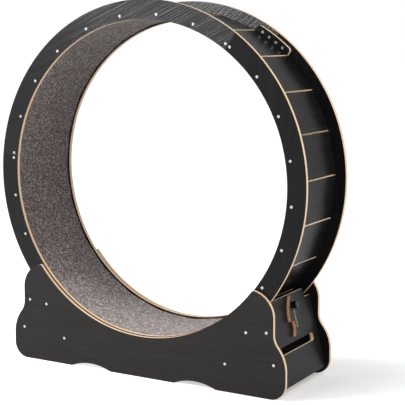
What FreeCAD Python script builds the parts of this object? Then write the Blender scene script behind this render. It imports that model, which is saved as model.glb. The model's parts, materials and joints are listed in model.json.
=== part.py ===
import FreeCAD, Part
import math
import os
import re

import PartDesign
import Sketcher
from FreeCAD import Placement, Rotation, Vector

# Cat exercise wheel. A running track of flat tread boards is screwed between two plywood rings.
# Each ring is arc segments, joined by splice plates behind the joints. The rings roll on four
# flanged tyres in a low cradle of two shaped side panels, two leaning end boards and two dowels.
# A sliding stopper on the right end board is pushed up against the treads to park the wheel.
#
# Millimetres, +Z up, the origin on the floor under the wheel's centre. The wheel turns about the
# Y axis, the front is towards -Y, and angles of the wheel are counted from +X towards +Z.

DIMENSIONS = (
    # the wheel
    ("wheel_radius", 500, "outer edge of a ring"),
    ("ring_width", 55, "radial width of a ring"),
    ("board_thickness", 12, "rings, splice plates, panels, end boards and stopper"),
    ("track_width", 248, "between the two rings"),
    ("segment_count", 3, "arc segments in a ring"),
    ("treads_per_segment", 8, "tread boards to one ring segment"),
    ("tread_thickness", 15, "thickness of a tread board"),
    ("tread_rise", 7, "from a ring's inner edge out to the face of a tread"),
    ("tread_seam", 0.3, "between two treads where they meet inside"),
    ("ring_seam", 0.4, "between two ring segments"),
    ("first_joint_angle", 54.4, "where the first ring joint stands at rest"),
    ("joint_screw_offset", 7.5, "from a ring joint to the screw on either side"),
    ("carpet_thickness", 3, "running carpet"),
    ("carpet_seam", 0.8, "butt joint of the carpet"),
    ("carpet_edge_gap", 0.5, "from the carpet's edge to a ring"),
    ("splice_inset", 10, "from a ring's outer edge to a splice plate"),
    ("splice_half_length", 62, "half the length of a splice plate"),
    ("splice_corner", 10, "rounding of a splice plate's outer corners"),
    ("splice_screw_inset", 14, "from a splice plate's outer edge to its screws"),
    ("splice_screw_pitch", 25.5, "between a splice plate's screws"),
    # the fasteners
    ("screw_head_radius", 3.8, "countersunk heads"),
    ("screw_radius", 2, "shanks"),
    ("screw_length", 40, "screws into treads, end boards and dowels"),
    ("short_screw_length", 20, "screws of the splice plates"),
    ("axle_screw_length", 28, "screws into the axle ends"),
    ("screw_clearance", 0.1, "radial clearance round a screw"),
    ("recess_span", 4.4, "cross recess of a screw head"),
    ("recess_width", 1.0, "arm of the cross recess"),
    ("recess_depth", 1.2, "depth of the cross recess"),
    # the side panels
    ("ground_clearance", 63, "from the floor to the wheel"),
    ("side_gap", 2, "between a ring and a side panel"),
    ("arc_reveal", 1.5, "ring edge that shows above a side panel"),
    ("crest_slope", 14.3, "fall of a panel's crest, in degrees"),
    ("crest_radius", 8, "rounding of a crest's tip"),
    ("waist_cover", 20.5, "from the upper end-board screw out to the waist"),
    ("shoulder_rise", 94, "from the upper end-board screw up to the shoulder"),
    ("shoulder_radius", 72, "rounding of the shoulder"),
    ("waist_drop", 21.6, "from the upper end-board screw down to the waist"),
    ("waist_radius", 51, "hollow of the waist"),
    ("foot_cover", 35, "from the lower end-board screw out to the foot"),
    ("foot_rise", 16.3, "from the lower end-board screw up to the foot's bulge"),
    ("foot_radius", 102, "bulge of the foot"),
    ("toe_radius", 45, "rounding where a foot meets the floor"),
    ("arch_place", 174, "from the middle to the middle of a floor arch"),
    ("arch_half_width", 67.5, "half the span of a floor arch"),
    ("arch_height", 14, "height of a floor arch"),
    # the end boards
    ("board_lean", 14.5, "lean of an end board, in degrees"),
    ("board_top_angle", 40.5, "where an end board's top stands below the axle, in degrees"),
    ("board_top_clearance", 15.5, "from the treads to an end board's top edge"),
    ("board_floor_gap", 22, "from the floor to an end board"),
    ("neck_half_width", 101, "half of an end board's top between the rings"),
    ("neck_drop", 24, "from the top edge down to the shoulders"),
    ("board_screw_drop", 72, "from the top edge to the upper screw"),
    ("board_screw_pitch", 88, "between the two screws of an edge"),
    ("slot_drop", 126, "from the top edge to the hand slot"),
    ("slot_height", 23, "hand slot"),
    ("slot_half_length", 104, "half the length of the hand slot"),
    ("slot_corner", 9, "rounding of the hand slot"),
    # the dowels
    ("dowel_radius", 12.5, "dowel between the panels"),
    ("dowel_place", 269, "from the middle to a dowel"),
    ("dowel_height", 77, "from the floor to a dowel"),
    # the rollers
    ("roller_angle", 40.4, "where the wheel sits on its rollers, from straight down"),
    ("rolling_gap", 0.3, "between a ring's edge and a tyre"),
    ("tyre_radius", 13.3, "rolling surface of a tyre"),
    ("tyre_end_gap", 1, "between a tyre and a side panel"),
    ("tyre_lip", 2, "how far a tyre folds over its bearing"),
    ("flange_height", 4.5, "flange that keeps the ring on its tyre"),
    ("flange_width", 4, "thickness of the flange"),
    ("flange_gap", 0.5, "between a flange and a ring"),
    ("axle_radius", 4, "roller axle"),
    ("running_fit", 0.03, "radial clearance of a bearing on its axle"),
    ("bearing_radius", 11, "outside of a ball bearing"),
    ("bearing_width", 7, "width of a ball bearing"),
    ("bearing_shield", 0.5, "how deep the shield lies between the races"),
    ("race_wall", 2, "thickness of a bearing race"),
    ("sleeve_gap", 0.1, "between a bearing and the sleeves beside it"),
    ("collar_radius", 7.5, "shaft collar inside a roller"),
    ("collar_width", 8, "width of a shaft collar"),
    ("grub_radius", 1.5, "grub screw hole of a collar"),
    # the stopper
    ("stopper_gap", 0.3, "between the stopper and the end board"),
    ("stopper_tip_drop", 2, "from the end board's top edge to the stopper's tip"),
    ("stopper_half_width", 30, "half the width of the stopper's head"),
    ("stopper_head_length", 65, "from the tip to the widest place"),
    ("stopper_shoulder", 3, "rounding under the head"),
    ("waist_half_width", 9, "half the width of the stopper's waist"),
    ("waist_length", 10, "straight part of the waist"),
    ("tail_half_width", 21, "half the width of the tail"),
    ("tail_length", 32, "from the waist to the end of the tail"),
    ("tail_radius", 49, "hollow side of the tail"),
    ("stopper_slot_length", 65, "slot for the clamp bolt"),
    ("bolt_drop", 29, "from the end board's top edge to the clamp bolt"),
    ("bolt_radius", 3, "clamp bolt"),
    ("bolt_clearance", 0.3, "radial clearance of the bolt in wood"),
    ("thread_clearance", 0.05, "radial clearance of the bolt in its knob"),
    ("bolt_head_radius", 7, "domed head of the clamp bolt"),
    ("bolt_head_height", 3, "height of the domed head"),
    ("knob_gap", 0.2, "between the knob and the stopper"),
    ("knob_radius", 10, "clamp knob"),
    ("knob_height", 14, "height of the knob"),
    ("knob_edge", 3, "rounding of the knob's crown"),
    ("knob_thread_depth", 9, "how far the bolt reaches into the knob"),
    ("knob_grip_radius", 2, "scallops round the knob"),
    ("knob_grip_offset", 1.2, "from the knob's rim out to the middle of a scallop"),
    ("knob_grips", 8, "number of scallops"),
)

doc = FreeCAD.newDocument("CatExerciseWheel")
sheet = doc.addObject("Spreadsheet::Sheet", "Dimensions")
for row, (alias, value, meaning) in enumerate(DIMENSIONS, start=1):
    sheet.set(f"A{row}", meaning)
    sheet.set(f"B{row}", str(value))
    sheet.setAlias(f"B{row}", alias)
doc.recompute()

# Sizes that follow from the sheet, as formulas of its cells.
RING_INNER = "(wheel_radius - ring_width)"
TREAD_INNER = f"({RING_INNER} + tread_rise)"
TREAD_OUTER = f"({TREAD_INNER} + tread_thickness)"
TREAD_STEP = "(360 / (segment_count * treads_per_segment))"
TREAD_CORNER = f"({TREAD_OUTER} / cos({TREAD_STEP} / 2))"
SCREW_CIRCLE = f"({TREAD_INNER} + tread_thickness / 2)"
SPLICE_OUTER = "(wheel_radius - splice_inset)"
AXLE_HEIGHT = "(wheel_radius + ground_clearance)"
RING_OUTSIDE = "(track_width / 2 + board_thickness)"
PANEL_INSIDE = f"({RING_OUTSIDE} + side_gap)"
ROLLER_DISTANCE = "(wheel_radius + rolling_gap + tyre_radius)"
ROLLER_X = f"({ROLLER_DISTANCE} * sin(roller_angle))"
ROLLER_Z = f"({AXLE_HEIGHT} - {ROLLER_DISTANCE} * cos(roller_angle))"
SCREW_HOLE = "(screw_radius + screw_clearance)"

# The end board's lower face starts at its top inner edge, which stands clear of the treads.
BOARD_TOP_X = f"(({TREAD_CORNER} + board_top_clearance) * cos(board_top_angle))"
BOARD_TOP_Z = f"({AXLE_HEIGHT} - ({TREAD_CORNER} + board_top_clearance) * sin(board_top_angle))"
BOARD_LENGTH = f"(({BOARD_TOP_Z} - board_floor_gap) / cos(board_lean))"


def formula(text):
    """The text with each cell's name written the way an expression refers to it."""
    return re.sub(r"\b[a-z]+(?:_[a-z]+)+\b", lambda word: f"Dimensions.{word.group()}", text)


def number(text):
    """The value of a formula now."""
    result = sheet.evalExpression(formula(text))
    return float(getattr(result, "Value", result))


def bind(feature, **properties):
    """Bind a feature's properties to formulas."""
    for name, text in properties.items():
        feature.setExpression(name, formula(text))


# ---------------------------------------------------------------- sketches


def new_body(label):
    body = doc.addObject("PartDesign::Body", label)
    body.Label = label
    return body


def new_sketch(body, name, plane="XY_Plane", offset="0"):
    """A sketch on one of the body's own origin planes, raised along the plane's normal."""
    sketch = body.newObject("Sketcher::SketchObject", name)
    support = next(item for item in body.Origin.OriginFeatures if item.Role == plane)
    sketch.AttachmentSupport = [(support, "")]
    sketch.MapMode = "FlatFace"
    sketch.setExpression("AttachmentOffset.Base.z", formula(offset))
    return sketch


def hold_point(sketch, geometry, end, x, y):
    """Fix a point of the sketch at two formulas."""
    for kind, text in (("DistanceX", x), ("DistanceY", y)):
        limit = Sketcher.Constraint(kind, -1, 1, geometry, end, number(text))
        index = sketch.addConstraint(limit)
        sketch.setExpression(f"Constraints[{index}]", formula(text))


def hold_radius(sketch, geometry, radius):
    index = sketch.addConstraint(Sketcher.Constraint("Radius", geometry, number(radius)))
    sketch.setExpression(f"Constraints[{index}]", formula(radius))


def draw_circles(sketch, centres, radius):
    for x, y in centres:
        circle = Part.Circle(Vector(number(x), number(y), 0), Vector(0, 0, 1), number(radius))
        geometry = sketch.addGeometry(circle, False)
        hold_point(sketch, geometry, 3, x, y)
        hold_radius(sketch, geometry, radius)


def add_arc(sketch, centre, first, last):
    """An arc about a centre, counter-clockwise from one point to another."""
    turns = [math.atan2(point.y - centre.y, point.x - centre.x) for point in (first, last)]
    sweep = (turns[1] - turns[0]) % (2 * math.pi)
    circle = Part.Circle(centre, Vector(0, 0, 1), (first - centre).Length)
    return sketch.addGeometry(Part.ArcOfCircle(circle, turns[0], turns[0] + sweep), False)


def end_at(sketch, geometry, point):
    """1 for the start or 2 for the end of a curve, whichever lies at the point."""
    curve = sketch.Geometry[geometry]
    start_is_near = curve.StartPoint.distanceToPoint(point) < curve.EndPoint.distanceToPoint(point)
    return 1 if start_is_near else 2


def draw_path(sketch, corners):
    """A closed path, run counter-clockwise. Each corner is (x, y, radius): the radius of the arc
    that leads on to the next corner, 0 for a straight edge, and negative for a hollow arc."""
    places = [Vector(number(x), number(y), 0) for x, y, _ in corners]
    edges = []
    for index, (_, _, radius) in enumerate(corners):
        start = places[index]
        end = places[(index + 1) % len(places)]
        if radius == "0":
            edges.append(sketch.addGeometry(Part.LineSegment(start, end), False))
            continue
        bend = number(radius)
        half = (end - start) / 2
        reach = math.sqrt(max(bend ** 2 - half.Length ** 2, 0))
        side = Vector(-half.y, half.x, 0).normalize() * math.copysign(reach, bend)
        first, last = (start, end) if bend > 0 else (end, start)
        edges.append(add_arc(sketch, start + half + side, first, last))
    for index, (x, y, radius) in enumerate(corners):
        edge = edges[index]
        before = edges[index - 1]
        end = end_at(sketch, edge, places[index])
        before_end = end_at(sketch, before, places[index])
        sketch.addConstraint(Sketcher.Constraint("Coincident", before, before_end, edge, end))
        hold_point(sketch, edge, end, x, y)
        if radius != "0":
            hold_radius(sketch, edge, f"abs({radius})")


def draw_rounded(sketch, corners):
    """A closed outline of straight edges. Each corner is (x, y, radius of its rounding)."""
    places = [Vector(number(x), number(y), 0) for x, y, _ in corners]
    starts = []
    ends = []
    for index, (_, _, radius) in enumerate(corners):
        place = places[index]
        back = (places[index - 1] - place).normalize()
        ahead = (places[(index + 1) % len(places)] - place).normalize()
        reach = number(radius) / math.tan(back.getAngle(ahead) / 2)
        starts.append(place + back * reach)
        ends.append(place + ahead * reach)
    lines = []
    for index, end in enumerate(ends):
        following = starts[(index + 1) % len(starts)]
        lines.append(sketch.addGeometry(Part.LineSegment(end, following), False))
    for index, (x, y, radius) in enumerate(corners):
        before = lines[index - 1]
        after = lines[index]
        if radius == "0":
            sketch.addConstraint(Sketcher.Constraint("Coincident", before, 2, after, 1))
            hold_point(sketch, after, 1, x, y)
            continue
        place = places[index]
        inward = (starts[index] + ends[index] - place * 2).normalize()
        half_angle = (starts[index] - place).getAngle(ends[index] - place) / 2
        centre = place + inward * (number(radius) / math.sin(half_angle))
        turns_left = (ends[index] - place).cross(starts[index] - place).z > 0
        first, last = (starts[index], ends[index]) if turns_left else (ends[index], starts[index])
        arc = add_arc(sketch, centre, first, last)
        arc_start = end_at(sketch, arc, starts[index])
        sketch.addConstraint(Sketcher.Constraint("Tangent", before, 2, arc, arc_start))
        sketch.addConstraint(Sketcher.Constraint("Tangent", arc, 3 - arc_start, after, 1))
        hold_radius(sketch, arc, radius)
        mark = sketch.addGeometry(Part.Point(place), True)
        hold_point(sketch, mark, 1, x, y)
        sketch.addConstraint(Sketcher.Constraint("PointOnObject", mark, 1, before))
        sketch.addConstraint(Sketcher.Constraint("PointOnObject", mark, 1, after))


def draw_slot(sketch, low, high, radius):
    """A slot up the Y axis, from the centre of its lower round end to that of its upper one."""
    reach = number(radius)
    round_trip = ((reach, low), (reach, high), (-reach, high), (-reach, low))
    corners = [Vector(x, number(y), 0) for x, y in round_trip]
    right = sketch.addGeometry(Part.LineSegment(corners[0], corners[1]), False)
    top = add_arc(sketch, Vector(0, number(high), 0), corners[1], corners[2])
    left = sketch.addGeometry(Part.LineSegment(corners[2], corners[3]), False)
    bottom = add_arc(sketch, Vector(0, number(low), 0), corners[3], corners[0])
    for before, after in ((right, top), (top, left), (left, bottom), (bottom, right)):
        sketch.addConstraint(Sketcher.Constraint("Tangent", before, 2, after, 1))
    for arc, y in ((top, high), (bottom, low)):
        hold_point(sketch, arc, 3, "0", y)
        hold_radius(sketch, arc, radius)


def draw_rectangle(sketch, x_low, x_high, y_low, y_high):
    corners = ((x_low, y_low), (x_high, y_low), (x_high, y_high), (x_low, y_high))
    draw_path(sketch, [(x, y, "0") for x, y in corners])


def mirrored(corners):
    """The corners of a right half, run upwards or downwards, with their mirror images added."""
    return list(corners) + [(f"-({x})", y, radius) for x, y, radius in reversed(corners)]


# ---------------------------------------------------------------- features


def pad(body, sketch, length, midplane=False):
    feature = body.newObject("PartDesign::Pad", f"{sketch.Name}_pad")
    feature.Profile = sketch
    feature.Midplane = midplane
    bind(feature, Length=length)
    doc.recompute()
    return feature


def checked_cut(body, feature):
    """Recompute a cut and make sure that it took material away."""
    before = feature.BaseFeature.Shape.Volume
    doc.recompute()
    if not feature.Shape.Volume < before:
        raise ValueError(f"{body.Label}: {feature.Name} cuts nothing")
    return feature


def pocket(body, sketch, length=None, flipped=False):
    """Cut a sketch against its normal, or along it when flipped, to a length or right through."""
    feature = body.newObject("PartDesign::Pocket", f"{sketch.Name}_pocket")
    feature.Profile = sketch
    feature.Reversed = flipped
    if length is None:
        feature.Type = "ThroughAll"
    else:
        bind(feature, Length=length)
    return checked_cut(body, feature)


def countersunk_holes(body, name, face, centres):
    """Holes for countersunk screws, drilled down from the face at the given height."""
    sketch = new_sketch(body, name, offset=face)
    draw_circles(sketch, centres, SCREW_HOLE)
    doc.recompute()
    hole = body.newObject("PartDesign::Hole", f"{name}_hole")
    hole.Profile = sketch
    doc.recompute()
    hole.ThreadType = "None"
    hole.DepthType = "ThroughAll"
    hole.HoleCutType = "Countersink"
    hole.HoleCutCountersinkAngle = 90
    bind(hole, Diameter=f"2 * {SCREW_HOLE}")
    bind(hole, HoleCutDiameter="2 * (screw_head_radius + screw_clearance)")
    return checked_cut(body, hole)


def revolve(body, sketch, angle="360"):
    """Turn a profile on the XZ plane about the body's Z axis, half the angle to each side."""
    feature = body.newObject("PartDesign::Revolution", f"{sketch.Name}_turned")
    feature.Profile = sketch
    feature.ReferenceAxis = (sketch, ["V_Axis"])
    feature.Midplane = True
    bind(feature, Angle=angle)
    doc.recompute()
    return feature


def polar_pattern(body, feature, count):
    pattern = body.newObject("PartDesign::PolarPattern", f"{feature.Name}_pattern")
    pattern.Originals = [feature]
    pattern.Axis = (feature.Profile[0], ["N_Axis"])
    pattern.Angle = 360
    bind(pattern, Occurrences=count)
    body.Tip = pattern
    doc.recompute()
    return pattern


def mirror_feature(body, feature, plane):
    mirror = body.newObject("PartDesign::Mirrored", f"{feature.Name}_mirror")
    mirror.Originals = [feature]
    support = next(item for item in body.Origin.OriginFeatures if item.Role == plane)
    mirror.MirrorPlane = (support, [""])
    body.Tip = mirror
    doc.recompute()
    return mirror


SNAP = 0.5  # an edge within this distance of a point passes through it


def round_edges(body, feature, points, radius):
    """Round the edges along Z that pass through the given points of the XY plane."""
    names = []
    for index, edge in enumerate(feature.Shape.Edges, start=1):
        ends = [vertex.Point for vertex in edge.Vertexes]
        upright = len(ends) == 2 and abs(ends[0].z - ends[1].z) > SNAP
        near = any(math.hypot(ends[0].x - x, ends[0].y - y) < SNAP for x, y in points)
        if upright and near:
            names.append(f"Edge{index}")
    if len(names) != len(points):
        raise ValueError(f"{body.Label}: {len(names)} edges found for {len(points)} corners")
    fillet = body.newObject("PartDesign::Fillet", f"{feature.Name}_round")
    fillet.Base = (feature, names)
    bind(fillet, Radius=radius)
    doc.recompute()
    return fillet


def group(label, shape, placements):
    """One node that holds a separate copy of a fastener or plate at each placement."""
    node = doc.addObject("Part::Feature", label)
    node.Label = label
    copies = []
    for placement in placements:
        copy = shape.copy()
        copy.Placement = placement
        copies.append(copy)
    node.Shape = Part.makeCompound(copies)
    return node


# ---------------------------------------------------------------- places

FRONT = -1
REAR = 1
LEFT = -1
RIGHT = 1
SIDE_NAMES = {FRONT: "front", REAR: "rear"}
END_NAMES = {LEFT: "left", RIGHT: "right"}


def facing(side, x="0", y="0", height="0"):
    """An upright frame whose Z axis points out of the front or the rear, with Y up."""
    rotation = Rotation(Vector(-side, 0, 0), Vector(0, 0, 1), Vector(0, side, 0), "ZXY")
    return Placement(Vector(number(x), number(y), number(height)), rotation)


def on_wheel(side, distance, angle):
    """A frame on the wheel's axis, at a distance out from its middle, with its X axis pointing
    out along the wheel's angle."""
    upright = facing(side, y=f"{side} * ({distance})", height=AXLE_HEIGHT)
    turn = angle if side == FRONT else 180 - angle
    return upright.multiply(Placement(Vector(), Rotation(Vector(0, 0, 1), turn)))


def end_board_frame(end):
    """The frame of an end board: X runs along its top edge, Y up the board, Z out of it."""
    lean = math.radians(number("board_lean"))
    across = Vector(0, end, 0)
    up = Vector(-end * math.sin(lean), 0, math.cos(lean))
    out = Vector(end * math.cos(lean), 0, math.sin(lean))
    origin = Vector(end * number(BOARD_TOP_X), 0, number(BOARD_TOP_Z))
    return Placement(origin, Rotation(across, up, out, "ZXY"))


def shifted(placement, x="0", y="0", z="0"):
    """A placement moved along its own axes."""
    return placement.multiply(Placement(Vector(number(x), number(y), number(z)), Rotation()))


def polar(radius, angle):
    """Formulas for a point at a radius and an angle."""
    return f"{radius} * cos({angle})", f"{radius} * sin({angle})"


# ---------------------------------------------------------------- fasteners


def make_screw(name, length):
    """A countersunk screw, its head's face at the origin and its shank along -Z."""
    body = new_body(name)
    profile = new_sketch(body, f"{name}_profile", "XZ_Plane")
    tip_start = f"{length} - 2 * screw_radius"
    corners = [
        ("0", "0", "0"),
        ("screw_head_radius", "0", "0"),
        ("screw_radius", "screw_radius - screw_head_radius", "0"),
        ("screw_radius", f"-({tip_start})", "0"),
        ("0", f"-{length}", "0"),
    ]
    draw_path(profile, corners)
    revolve(body, profile)
    recess = new_sketch(body, f"{name}_recess")
    arm = "recess_width / 2"
    reach = "recess_span / 2"
    quarter = [(reach, f"-({arm})"), (reach, arm), (arm, arm), (arm, reach)]
    half = quarter + [(f"-({arm})", reach), (f"-({arm})", arm), (f"-({reach})", arm)]
    cross = half + [(f"-({reach})", f"-({arm})"), (f"-({arm})", f"-({arm})")]
    cross += [(f"-({arm})", f"-({reach})"), (arm, f"-({reach})"), (arm, f"-({arm})")]
    draw_path(recess, [(x, y, "0") for x, y in cross])
    pocket(body, recess, "recess_depth")
    return body.Shape


# ---------------------------------------------------------------- the wheel

segments = int(number("segment_count"))
treads_per_segment = int(number("treads_per_segment"))
first_joint = number("first_joint_angle")
tread_step = number(TREAD_STEP)
joint_angles = [first_joint + index * 360 / segments for index in range(segments)]
joint_turn = f"(asin(joint_screw_offset / {SCREW_CIRCLE}) / 1 deg)"
splice_offsets = ("-1.5 * splice_screw_pitch", "-0.5 * splice_screw_pitch",
                  "0.5 * splice_screw_pitch", "1.5 * splice_screw_pitch")
SPLICE_SCREW_LINE = f"({SPLICE_OUTER} - splice_screw_inset)"


def ring_screw_angles():
    """Angles, as formulas, of one segment's screws, counted from the segment's middle."""
    half = "180 / segment_count"
    angles = [f"({half} - {joint_turn})", f"-({half} - {joint_turn})"]
    for index in range(1, treads_per_segment):
        angles.append(f"({index} * {TREAD_STEP} - {half})")
    return angles


def make_ring_segment(label, placement):
    """A third of a ring, from its inner face at z = 0 to its outer face, screwed to the treads."""
    body = new_body(label)
    section = new_sketch(body, f"{label}_section", "XZ_Plane")
    draw_rectangle(section, RING_INNER, "wheel_radius", "0", "board_thickness")
    revolve(body, section, "360 / segment_count - ring_seam / wheel_radius * 180 / pi")
    centres = [polar(SCREW_CIRCLE, angle) for angle in ring_screw_angles()]
    countersunk_holes(body, f"{label}_screws", "board_thickness", centres)
    splice = new_sketch(body, f"{label}_splice")
    half = "180 / segment_count"
    ends = []
    for offset in splice_offsets[2:]:
        angle = f"({half} - atan({offset} / {SPLICE_SCREW_LINE}) / 1 deg)"
        radius = f"hypot({SPLICE_SCREW_LINE}; {offset})"
        ends.append(polar(radius, angle))
        ends.append(polar(radius, f"-{angle}"))
    draw_circles(splice, ends, SCREW_HOLE)
    depth = "short_screw_length - board_thickness + screw_clearance"
    pocket(body, splice, depth, flipped=True)
    body.Placement = placement
    return body


def make_tread(label, angle, at_joint):
    """A flat tread board on edge between the rings, with pilot holes for its screws."""
    body = new_body(label)
    section = new_sketch(body, f"{label}_section")
    half_width = f"({TREAD_INNER} * tan({TREAD_STEP} / 2) - tread_seam / 2)"
    draw_rectangle(section, TREAD_INNER, TREAD_OUTER, f"-{half_width}", half_width)
    pad(body, section, "track_width", midplane=True)
    pilots = new_sketch(body, f"{label}_pilots", offset="track_width / 2")
    if at_joint:
        angles = (joint_turn, f"-{joint_turn}")
        centres = [polar(SCREW_CIRCLE, turn) for turn in angles]
    else:
        centres = [(SCREW_CIRCLE, "0")]
    draw_circles(pilots, centres, SCREW_HOLE)
    drilled = pocket(body, pilots, "screw_length - board_thickness + screw_clearance")
    mirror_feature(body, drilled, "XY_Plane")
    body.Placement = on_wheel(FRONT, "0", angle)
    return body


def make_carpet(label):
    """The carpet that lines the treads: a ring with as many flats as there are treads."""
    prisms = []
    apothems = {"outside": TREAD_INNER, "inside": f"({TREAD_INNER} - carpet_thickness)"}
    for name, apothem in apothems.items():
        prism = doc.addObject("Part::Prism", f"carpet_{name}")
        bind(prism, Polygon="segment_count * treads_per_segment")
        bind(prism, Circumradius=f"{apothem} / cos({TREAD_STEP} / 2)")
        bind(prism, Height="track_width - 2 * carpet_edge_gap")
        prisms.append(prism)
    band = doc.addObject("Part::Cut", "carpet_band")
    band.Base, band.Tool = prisms
    seam = doc.addObject("Part::Box", "carpet_seam")
    bind(seam, Length="wheel_radius", Width="carpet_seam", Height="track_width")
    seam.setExpression("Placement.Base.y", formula("-carpet_seam / 2"))
    carpet = doc.addObject("Part::Cut", label)
    carpet.Label = label
    carpet.Base = band
    carpet.Tool = seam
    doc.recompute()
    far_edge = "carpet_edge_gap - track_width / 2"
    carpet.Placement = on_wheel(FRONT, far_edge, first_joint + tread_step / 2)
    return carpet


def make_splice_plate(name):
    """A plate that lies on a tread and bridges a ring joint, its screws driven from z = top."""
    body = new_body(name)
    outline = new_sketch(body, f"{name}_outline")
    shoulder = f"sqrt({SPLICE_OUTER} ^ 2 - splice_half_length ^ 2)"
    corners = [
        (TREAD_OUTER, "-splice_half_length", "0"),
        (shoulder, "-splice_half_length", SPLICE_OUTER),
        (shoulder, "splice_half_length", "0"),
        (TREAD_OUTER, "splice_half_length", "0"),
    ]
    draw_path(outline, corners)
    plate = pad(body, outline, "board_thickness")
    ends = [(number(shoulder), number(f"{sign} * splice_half_length")) for sign in (-1, 1)]
    round_edges(body, plate, ends, "splice_corner")
    centres = [(SPLICE_SCREW_LINE, offset) for offset in splice_offsets]
    countersunk_holes(body, f"{name}_screws", "board_thickness", centres)
    return body.Shape


def make_wheel(screw, short_screw):
    nodes = []
    for side in (FRONT, REAR):
        screws = []
        for index, joint in enumerate(joint_angles, start=1):
            middle = joint + 180 / segments
            place = on_wheel(side, "track_width / 2", middle)
            nodes.append(make_ring_segment(f"{SIDE_NAMES[side]}_ring_segment_{index}", place))
            for angle in ring_screw_angles():
                head = on_wheel(side, RING_OUTSIDE, middle + number(angle))
                screws.append(shifted(head, x=SCREW_CIRCLE))
        nodes.append(group(f"{SIDE_NAMES[side]}_ring_screws", screw, screws))
    tread_count = segments * treads_per_segment
    for index in range(tread_count):
        at_joint = index % treads_per_segment == 0
        angle = first_joint + index * tread_step
        nodes.append(make_tread(f"tread_board_{index + 1:02d}", angle, at_joint))
    nodes.append(make_carpet("carpet_runner"))
    plate = make_splice_plate("splice_plate")
    splice_screws = []
    for side in (FRONT, REAR):
        inward = -side
        seats = [on_wheel(inward, "-track_width / 2", joint) for joint in joint_angles]
        nodes.append(group(f"{SIDE_NAMES[side]}_splice_plates", plate, seats))
        for seat in seats:
            for offset in splice_offsets:
                splice_screws.append(shifted(seat, SPLICE_SCREW_LINE, offset, "board_thickness"))
    nodes.append(group("splice_screws", short_screw, splice_screws))
    return nodes


# ---------------------------------------------------------------- the cradle

lean_sine = "sin(board_lean)"
lean_cosine = "cos(board_lean)"


def on_end_board(drop, depth="board_thickness / 2"):
    """Formulas for a place on the right end board, seen from the side: x and height."""
    x = f"({BOARD_TOP_X} + ({drop}) * {lean_sine} + ({depth}) * {lean_cosine})"
    z = f"({BOARD_TOP_Z} - ({drop}) * {lean_cosine} + ({depth}) * {lean_sine})"
    return x, z


UPPER_X, UPPER_Z = on_end_board("board_screw_drop")
LOWER_X, LOWER_Z = on_end_board("board_screw_drop + board_screw_pitch")


def both_ends(x, z):
    return [(x, z), (f"-({x})", z)]


panel_screw_centres = both_ends(UPPER_X, UPPER_Z) + both_ends(LOWER_X, LOWER_Z)
panel_screw_centres += both_ends("dowel_place", "dowel_height")
axle_screw_centres = both_ends(ROLLER_X, ROLLER_Z)


def make_side_panel(label, side):
    """A side of the cradle: two crests either side of the wheel, a waist and a foot at each end,
    and two shallow arches along the floor. It stands from its inner face at z = 0."""
    body = new_body(label)
    outline = new_sketch(body, f"{label}_outline")
    shoulder_x = f"({UPPER_X} + waist_cover)"
    shoulder_z = f"({UPPER_Z} + shoulder_rise)"
    inside = "(wheel_radius / 2)"
    foot_x = f"({LOWER_X} + foot_cover)"
    corners = [
        (foot_x, "0", "toe_radius"),
        (foot_x, f"{LOWER_Z} + foot_rise", "foot_radius"),
        (shoulder_x, f"{UPPER_Z} - waist_drop", "waist_radius"),
        (shoulder_x, shoulder_z, "shoulder_radius"),
        (inside, f"{shoulder_z} + ({shoulder_x} - {inside}) * tan(crest_slope)", "0"),
    ]
    draw_rounded(outline, mirrored(corners))
    pad(body, outline, "board_thickness")
    rim = f"({RING_INNER} + arc_reveal)"
    saddle = new_sketch(body, f"{label}_saddle")
    draw_circles(saddle, [("0", AXLE_HEIGHT)], rim)
    scooped = pocket(body, saddle, flipped=True)
    slope = math.radians(number("crest_slope"))
    fall_start = Vector(number(shoulder_x), number(f"{shoulder_z} - {AXLE_HEIGHT}"), 0)
    along = Vector(-math.cos(slope), math.sin(slope), 0)
    towards = fall_start.dot(along)
    reach = -towards - math.sqrt(towards ** 2 - fall_start.Length ** 2 + number(rim) ** 2)
    tip = fall_start + along * reach
    tips = [(sign * tip.x, tip.y + number(AXLE_HEIGHT)) for sign in (-1, 1)]
    round_edges(body, scooped, tips, "crest_radius")
    arches = new_sketch(body, f"{label}_arches")
    arch_radius = "((arch_half_width ^ 2 + arch_height ^ 2) / (2 * arch_height))"
    draw_circles(arches, both_ends("arch_place", f"arch_height - {arch_radius}"), arch_radius)
    pocket(body, arches, flipped=True)
    centres = panel_screw_centres + axle_screw_centres
    countersunk_holes(body, f"{label}_screws", "board_thickness", centres)
    body.Placement = facing(side, y=f"{side} * {PANEL_INSIDE}")
    return body


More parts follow.
